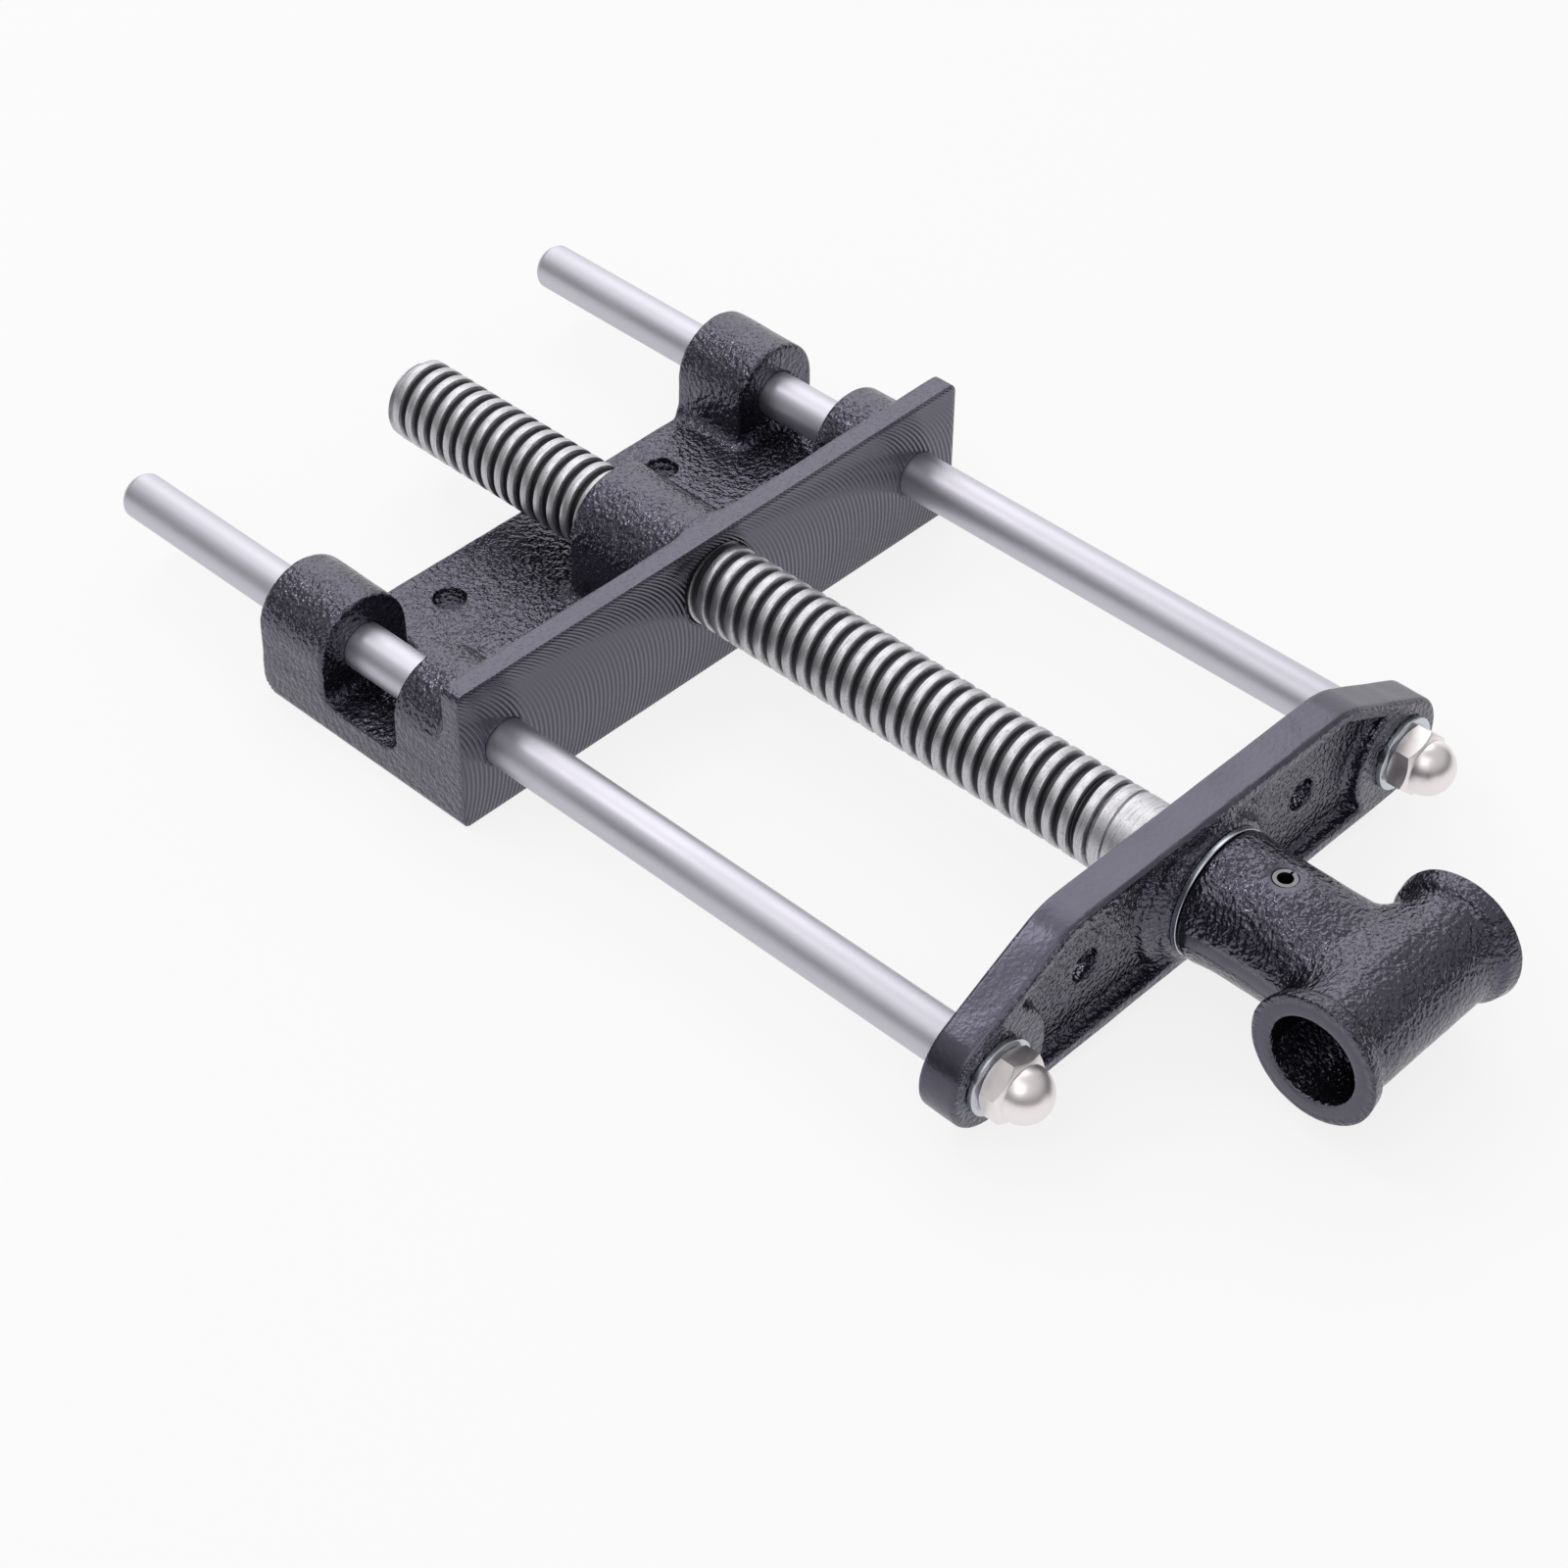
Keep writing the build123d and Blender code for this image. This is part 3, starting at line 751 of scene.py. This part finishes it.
def cutter_arcs(tree, place):
    """A sine wave over the way from a point to the front of the cutter's circle. At a rise
    above the cutter's axis, the front lies ahead of it by the root of the radius squared less
    the rise squared. Also gives where the milled face is."""
    x, y, z = axes_of(tree, place)
    rise = maths(tree, "SUBTRACT", z, CUTTER_HEIGHT * MM)
    square = maths(tree, "SUBTRACT", (CUTTER_RADIUS * MM) ** 2, times(tree, rise, rise))
    lead = maths(tree, "SQRT", maths(tree, "MAXIMUM", square, 0.0))
    way = maths(tree, "SUBTRACT", x, lead)
    wave = maths(tree, "SINE", times(tree, way, 2 * math.pi / (CUTTER_FEED * MM)))
    on_face = spread(tree, y, (FACE_Y + 0.15) * MM, (FACE_Y + 0.45) * MM, 1.0, 0.0)
    return wave, on_face


def enamel(name, milled=False):
    """Two sizes of grain and a few pits as relief, and a gloss that changes from place to
    place. The milled face has the arcs of the cutter under its paint instead of grain."""
    material, tree, shader, place = finish(name, 0.0, 0.2, 1.0)
    shader.inputs["IOR"].default_value = 1.6
    shader.inputs["Specular Tint"].default_value = (0.80, 0.77, 1.0, 1)
    ground = tree.nodes.new("ShaderNodeAttribute")
    ground.attribute_name = "ground"
    ground = ground.outputs["Fac"]
    coarse = grain(tree, place, 720.0, 1.0, 0.45)
    fine = grain(tree, place, 2200.0, 1.0, 0.5)
    pits = spread(tree, grain(tree, place, 1100.0, 0.0, 0.5), 0.28, 0.40, -1.0, 0.0)
    height = plus(tree, coarse, times(tree, fine, 0.05))
    height = plus(tree, height, times(tree, pits, 0.15))
    height = times(tree, height, spread(tree, ground, 0.0, 1.0, 1.0, 0.10))
    if milled:
        wave, on_face = cutter_arcs(tree, place)
        arcs = plus(tree, times(tree, wave, 0.13), times(tree, fine, 0.07))
        factor, first, second = 0, 2, 3
        height = put(tree, "Mix", {factor: on_face, first: height, second: arcs})
    relief(tree, shader, height, GRAIN_DEPTH)
    gloss = spread(tree, grain(tree, place, 55.0, 3.0, 0.6), 0.3, 0.7, 0.12, 0.20)
    gloss = plus(tree, gloss, times(tree, ground, 0.12))
    tree.links.new(gloss, shader.inputs["Roughness"])
    tint(tree, shader, coarse, (0.003, 0.003, 0.0035), (0.007, 0.007, 0.009))
    return material


dress(enamel("black_enamel"), [front_jaw, socket])
dress(enamel("black_enamel_milled", milled=True), [bracket])

# %% [markdown]
# The rods are drawn bars, rubbed along their length. The rubbing shows as long soft streaks,
# which come from a noise that is pulled out along Y, in the gloss and a little in the height.

# %% Drawn steel
def drawn_steel():
    """Fine streaks that are eighty times as long as they are wide, and broad soft clouds."""
    material, tree, shader, place = finish("drawn_steel", 1.0, 0.3)
    streaks = grain(tree, stretch(tree, place, (1.0, 0.012, 1.0)), 2600.0, 3.0, 0.6)
    clouds = grain(tree, stretch(tree, place, (1.0, 0.25, 1.0)), 90.0, 3.0, 0.6)
    relief(tree, shader, streaks, 0.000012)
    tree.links.new(spread(tree, clouds, 0.3, 0.7, 0.42, 0.52), shader.inputs["Roughness"])
    tint(tree, shader, clouds, (0.54, 0.53, 0.585), (0.64, 0.63, 0.69))
    return material


dress(drawn_steel(), rods)

# %% [markdown]
# The screw is bright on its crests, where the nut rubs it, and dark in its grooves, where the
# colour is painted shade. How far a point is from the screw's axis says which of the two it is.
# The die leaves fine dark lines round the crests and small torn specks in them. The last few
# millimetres of the tail were faced on the lathe, so they are bright all over.

# %% Threaded steel
def threaded_steel():
    """Bright above a radius of 11.2 mm, dark below 10.5 mm as painted shade in the grooves, with
    fine rings along Y. The radius is the root of the squares of the two offsets from the axis,
    shifted by a noise."""
    material, tree, shader, place = finish("threaded_steel", 1.0, 0.4)
    x, y, z = axes_of(tree, place)
    up = maths(tree, "SUBTRACT", z, SCREW_Z * MM)
    away = maths(tree, "SQRT", plus(tree, times(tree, x, x), times(tree, up, up)))
    blotch = maths(tree, "SUBTRACT", grain(tree, place, 500.0, 3.0, 0.6), 0.5)
    away = plus(tree, away, times(tree, blotch, 0.0006))
    # Below 10.5 mm, in the grooves, the base colour is dark: painted shade.
    crest = spread(tree, away, 10.5 * MM, 11.2 * MM, 0.0, 1.0)
    faced = spread(tree, y, (SCREW_TAIL - 4.4) * MM, (SCREW_TAIL - 3.6) * MM, 0.0, 1.0)
    crest = maths(tree, "MAXIMUM", crest, faced)
    rings = grain(tree, stretch(tree, place, (0.05, 1.0, 0.05)), 2400.0, 2.0, 0.7)
    specks = spread(tree, grain(tree, place, 1800.0, 2.0, 0.6), 0.34, 0.42, 0.6, 1.0)
    relief(tree, shader, rings, 0.00003)
    lit = times(tree, crest, spread(tree, rings, 0.36, 0.50, 0.66, 1.0))
    lit = times(tree, lit, specks)
    # The dark colour of this mix is painted shade in the grooves; the bright one is the crests'
    # steel.
    tint(tree, shader, lit, (0.085, 0.085, 0.090), (0.58, 0.575, 0.60))
    tree.links.new(spread(tree, crest, 0.0, 1.0, 0.5, 0.42), shader.inputs["Roughness"])
    return material


dress(threaded_steel(), [screw])

# %% [markdown]
# The washers are zinc plated, which is bluer than bare steel, and the cap nuts are nickel
# plated, which is warmer. Both are bright metals whose gloss changes in soft clouds. A
# short helper makes such a plating, and the numbers tell the two apart.

# %% Zinc washers and nickel cap nuts
def plating(name, roughness, cloud_grain, gloss, bumps, bump_depth, dark, light):
    """A bright metal with clouds in its colour and gloss over shallow bumps."""
    material, tree, shader, place = finish(name, 1.0, roughness)
    cloud = grain(tree, place, *cloud_grain)
    relief(tree, shader, grain(tree, place, *bumps), bump_depth)
    tree.links.new(spread(tree, cloud, 0.3, 0.7, *gloss), shader.inputs["Roughness"])
    tint(tree, shader, cloud, dark, light)
    return material


zinc = plating("zinc_plate", 0.28, (260.0, 4.0, 0.6), (0.20, 0.34),
               (3000.0, 2.0, 0.5), 0.000005, (0.50, 0.53, 0.57), (0.66, 0.69, 0.74))
dress(zinc, [*washers, thrust_ring])
nickel = plating("nickel_plate", 0.36, (180.0, 3.0, 0.5), (0.30, 0.42),
                 (330.0, 1.0, 0.4), 0.00005, (0.84, 0.79, 0.785), (0.93, 0.88, 0.875))
dress(nickel, nuts)

# %% [markdown]
# The spring pin is rolled from dark spring steel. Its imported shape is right, so it stays,
# and only gets a better material.

# %% Pin steel
def dark_steel():
    """Oiled spring steel with a faint grain."""
    material, tree, shader, place = finish("dark_steel", 1.0, 0.35)
    cloud = grain(tree, place, 900.0, 3.0, 0.6)
    relief(tree, shader, cloud, 0.00003)
    tint(tree, shader, cloud, (0.13, 0.13, 0.14), (0.22, 0.22, 0.235))
    return material


dress(dark_steel(), [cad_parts["socket_pin"]])

# %% [markdown]
# The vise lies on a plain white floor. The floor is a real matt surface, which catches the
# shadow, mixed with a steady white for what the camera and mirrors see, so that it comes out
# as pale as the photograph's background without more light on the vise. It is wide enough to
# fill the picture behind the vise.

# %% Floor
FLOOR, FLOOR_Z = 12.0, -0.0002
FLOOR_SHARE = 0.82
floor_mesh = bpy.data.meshes.new("floor")
floor_mesh.from_pydata(
    [(-FLOOR, -FLOOR, FLOOR_Z), (FLOOR, -FLOOR, FLOOR_Z),
     (FLOOR, FLOOR, FLOOR_Z), (-FLOOR, FLOOR, FLOOR_Z)], [], [(0, 1, 2, 3)])
floor = bpy.data.objects.new("floor", floor_mesh)
bpy.context.scene.collection.objects.link(floor)


def looked_at(tree):
    """1 for what the camera sees, itself or in a mirror or through glass, and 0 for the light
    that falls on the vise."""
    path = tree.nodes.new("ShaderNodeLightPath").outputs
    seen = maths(tree, "MAXIMUM", path["Is Camera Ray"], path["Is Glossy Ray"])
    return maths(tree, "MAXIMUM", seen, path["Is Transmission Ray"])


def shader_mix(tree, factor, first, second, target):
    """The second shader instead of the first, by the factor, sent to the target."""
    mix = tree.nodes.new("ShaderNodeMixShader")
    for value, socket in zip((factor, first, second), mix.inputs):
        tree.links.new(value, socket)
    tree.links.new(mix.outputs[0], target)


def floor_white():
    """Matt white, mixed for what the camera and mirrors see with a steady white."""
    material, tree, shader, _ = finish("floor_white", 0.0, 0.8)
    shader.inputs["Base Color"].default_value = (0.86, 0.86, 0.87, 1)
    glow = put(tree, "Emission", {"Color": (1, 1, 1, 1), "Strength": 1.0})
    share = times(tree, looked_at(tree), FLOOR_SHARE)
    surface = tree.nodes["Material Output"].inputs["Surface"]
    shader_mix(tree, share, shader.outputs[0], glow, surface)
    return material


dress(floor_white(), [floor])

# %% [markdown]
# The light is a studio. What falls on the vise is an even sky for soft shadows. What the
# camera, the metal and the paint see above the floor is a room: a wide window behind the
# vise and to the right, a lit doorway low on the right, a pale ceiling and dark walls.
# Without the dark, gloss on black paint has nothing to draw with. One soft lamp stands in
# the window, a small one makes the glints on the grains, and one fills from the left.

# %% Sky and lamps
WALL_GREY, OPENING_WHITE, CEILING_GREY = 0.10, 1.2, 0.62
LAMP_TARGET = (0, -0.1, 0)
world = bpy.data.worlds.new("studio")
world.use_nodes = True
sky = world.node_tree
background = sky.nodes["Background"]
background.inputs["Color"].default_value = (0.97, 0.96, 1.0, 1)
background.inputs["Strength"].default_value = 0.62
across, away, up = axes_of(sky, sky.nodes.new("ShaderNodeTexCoord").outputs["Generated"])


def facing(x, y, z):
    """How well a direction in the sky agrees with this one, up to 1: the sum of the products
    of their three numbers."""
    flat = plus(sky, times(sky, across, x), times(sky, away, y))
    return plus(sky, flat, times(sky, up, z))


door = spread(sky, facing(0.77, 0.64, 0.0), 0.60, 0.90, WALL_GREY, OPENING_WHITE)
window = spread(sky, facing(0.50, 0.50, 0.71), 0.84, 0.96, WALL_GREY, OPENING_WHITE)
ceiling = spread(sky, up, 0.15, 0.60, WALL_GREY, CEILING_GREY)
walls = maths(sky, "MAXIMUM", ceiling, maths(sky, "MAXIMUM", door, window))
room = put(sky, "Background", {"Color": (1, 1, 1, 1), "Strength": walls})
surface = sky.nodes["World Output"].inputs["Surface"]
shader_mix(sky, looked_at(sky), background.outputs[0], room, surface)
bpy.context.scene.world = world


def lamp(name, place, size, power):
    """A square soft lamp at a place, turned towards the vise."""
    data = bpy.data.lights.new(name, "AREA")
    data.energy, data.shape, data.size = power, "SQUARE", size
    data.color = (1.0, 0.985, 1.0)
    light = bpy.data.objects.new(name, data)
    light.location = place
    way = Vector(LAMP_TARGET) - Vector(place)
    light.rotation_euler = way.to_track_quat("-Z", "Y").to_euler()
    bpy.context.scene.collection.objects.link(light)
    print("%s: %.1f W over %.1f m" % (name, power, size))


lamp("back_lamp", (0.55, 0.60, 1.10), 1.1, 3.6)
lamp("glint_lamp", (-0.30, 0.55, 1.15), 0.3, 1.8)
lamp("key_lamp", (-0.75, -0.35, 1.15), 0.9, 3.0)
bpy.context.scene.view_settings.view_transform = "Standard"
